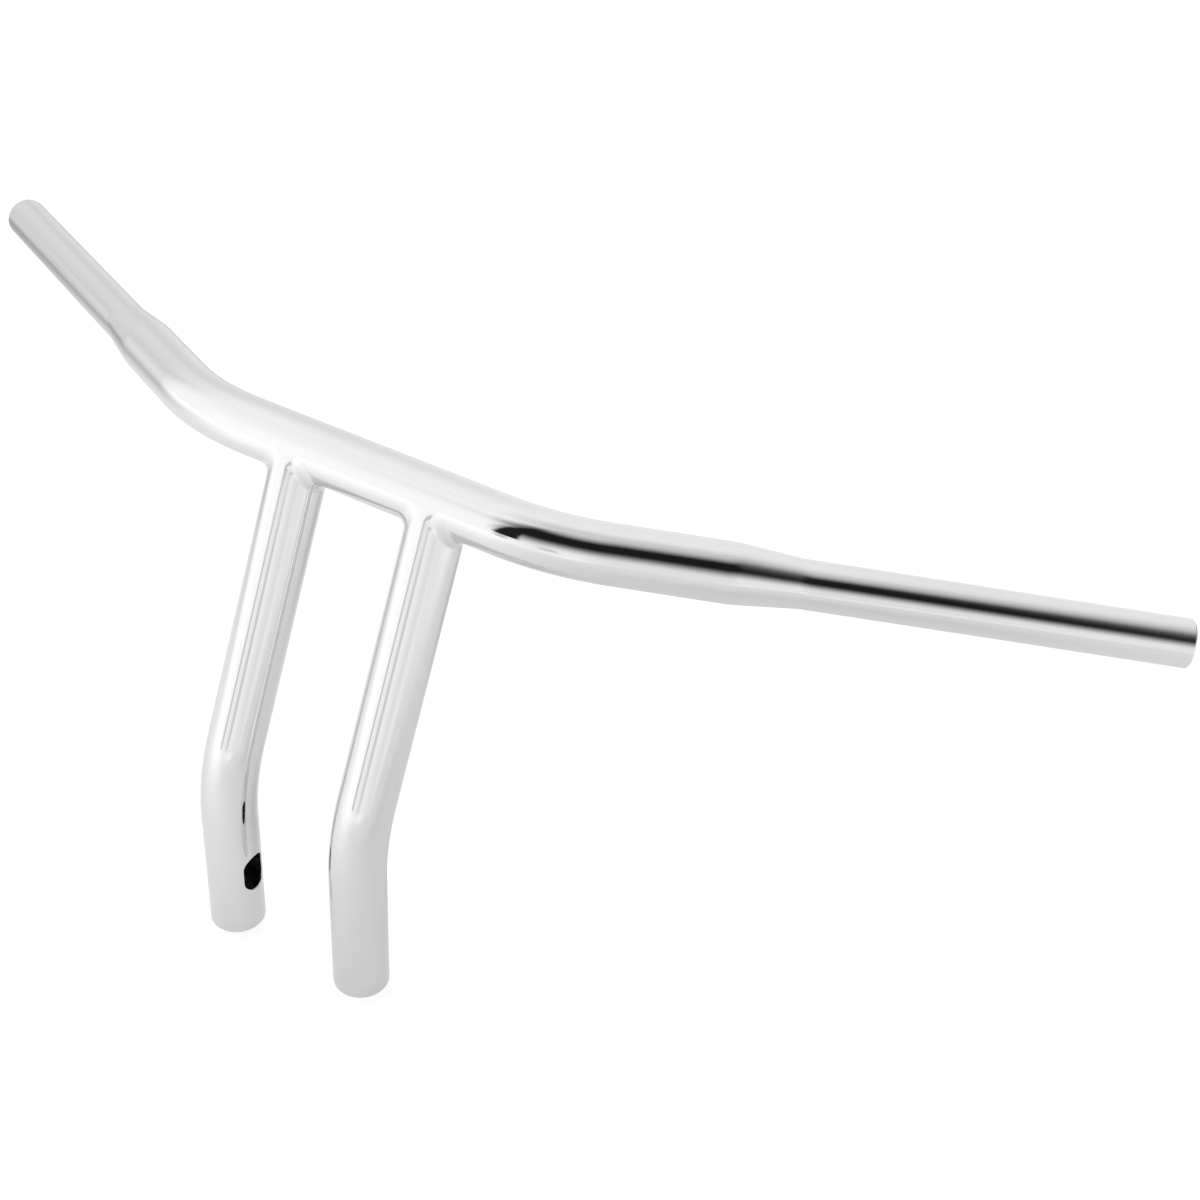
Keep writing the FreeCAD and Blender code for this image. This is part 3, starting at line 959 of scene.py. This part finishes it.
# a white tent of soft light, brightest at the right-hand side, with the dark opening that the camera looks in through
# and a grey flag behind, on the left
world = bpy.data.worlds.new("studio")
bpy.context.scene.world = world
world.use_nodes = True
wt = world.node_tree
wt.nodes.clear()
wo = add(wt, "ShaderNodeOutputWorld")
sep = add(wt, "ShaderNodeSeparateXYZ")
link(wt, add(wt, "ShaderNodeTexCoord").outputs["Generated"], sep.inputs[0])
turn = maths(wt, "DEGREES", maths(wt, "ARCTAN2", sep.outputs[0], sep.outputs[1]))
rise = maths(wt, "DEGREES", maths(wt, "ARCSINE", sep.outputs[2]))
fac = maths(wt, "ADD", maths(wt, "DIVIDE", turn, 360.0), 0.5)
low = levels(wt, fac, LOW_WALL)
high = levels(wt, fac, HIGH_WALL)
wall = maths(wt, "ADD", low, maths(wt, "MULTIPLY", maths(wt, "SUBTRACT", high, low), step_up(wt, rise, 12.0, 58.0)))
tent = maths(wt, "ADD", wall, maths(wt, "MULTIPLY", maths(wt, "SUBTRACT", ROOF, wall), step_up(wt, rise, 62.0, 84.0)))
sag = maths(wt, "ADD", rise, maths(wt, "MULTIPLY", step_up(wt, turn, -12.0, 12.0), 4.0))
height = maths(wt, "MULTIPLY", step_up(wt, sag, 8.0, 44.0), maths(wt, "SUBTRACT", 1.0, step_up(wt, rise, 60.0, 88.0)))
across = maths(wt, "MULTIPLY", step_up(wt, turn, -172.0, -54.0), maths(wt, "SUBTRACT", 1.0, step_up(wt, turn, 18.0, 30.0)))
opening = maths(wt, "MULTIPLY", across, height)
haze = maths(wt, "MULTIPLY", maths(wt, "MULTIPLY", window(wt, turn, 0.0, 32.0, 33.0), window(wt, rise, 45.0, 74.0, 18.0)), 0.95)
slit = maths(wt, "ADD", maths(wt, "MULTIPLY", window(wt, rise, 10.0, 44.0, 2.0), window(wt, turn, 9.5, 22.5, 4.0)),
             maths(wt, "MULTIPLY", maths(wt, "MULTIPLY", window(wt, rise, -10.0, 10.0, 2.0), window(wt, turn, 15.0, 21.0, 4.0)), 0.4))
seam = maths(wt, "MULTIPLY", maths(wt, "MULTIPLY", window(wt, turn, -8.0, 0.0, 5.0), window(wt, rise, 1.5, 10.0, 5.0)), 0.3)
flag = maths(wt, "MULTIPLY", maths(wt, "MULTIPLY", window(wt, turn, -166.0, -112.0, 24.0), window(wt, rise, 4.0, 36.0, 10.0)), 0.85)
dark = maths(wt, "MAXIMUM", maths(wt, "MAXIMUM", opening, haze), maths(wt, "MAXIMUM", slit, seam))
dark = maths(wt, "MINIMUM", maths(wt, "MAXIMUM", dark, flag), 1.0)
lit = maths(wt, "MULTIPLY", maths(wt, "MULTIPLY", tent, DIM), maths(wt, "SUBTRACT", 1.0, maths(wt, "MULTIPLY", dark, 0.985)))
bg = add(wt, "ShaderNodeBackground")
link(wt, lit, bg.inputs["Strength"])
plain = add(wt, "ShaderNodeBackground")
plain.inputs["Strength"].default_value = 1.0
plain.inputs["Color"].default_value = (1, 1, 1, 1)
mix = add(wt, "ShaderNodeMixShader")
link(wt, add(wt, "ShaderNodeLightPath").outputs["Is Camera Ray"], mix.inputs[0])
link(wt, bg.outputs[0], mix.inputs[1])
link(wt, plain.outputs[0], mix.inputs[2])
link(wt, mix.outputs[0], wo.inputs[0])

# ------------------------------------------------------------------ camera, at the photograph's angle
def camera_axes(az, el, roll):
    a, e, r = math.radians(az), math.radians(el), math.radians(roll)
    back = Vector((math.sin(a) * math.cos(e), -math.cos(a) * math.cos(e), math.sin(e)))
    fwd = -back
    right = fwd.cross(Z).normalized()
    up = right.cross(fwd)
    r2 = right * math.cos(r) + up * math.sin(r)
    u2 = up * math.cos(r) - right * math.sin(r)
    return r2, u2, back


CAM_AT = Vector((-0.5430156, 0.6362154, 0.8958296))
right, up, back = camera_axes(211.0394, 36.829, 2.1346)
cam = bpy.data.cameras.new("camera")
cam.sensor_width = 36.0
cam.sensor_fit = "HORIZONTAL"
cam.lens = 2082.8384 / 1200 * 36.0
cam.shift_x = (600 - 551.9734) / 1200
cam.shift_y = (566.809 - 600) / 1200
cam.clip_start, cam.clip_end = 0.01, 100
cam_obj = bpy.data.objects.new("camera", cam)
bpy.context.scene.collection.objects.link(cam_obj)
rot = Matrix((right, up, back)).transposed()
cam_obj.matrix_world = Matrix.Translation(CAM_AT) @ rot.to_4x4()
bpy.context.scene.camera = cam_obj
bpy.context.scene.view_settings.view_transform = "Standard"
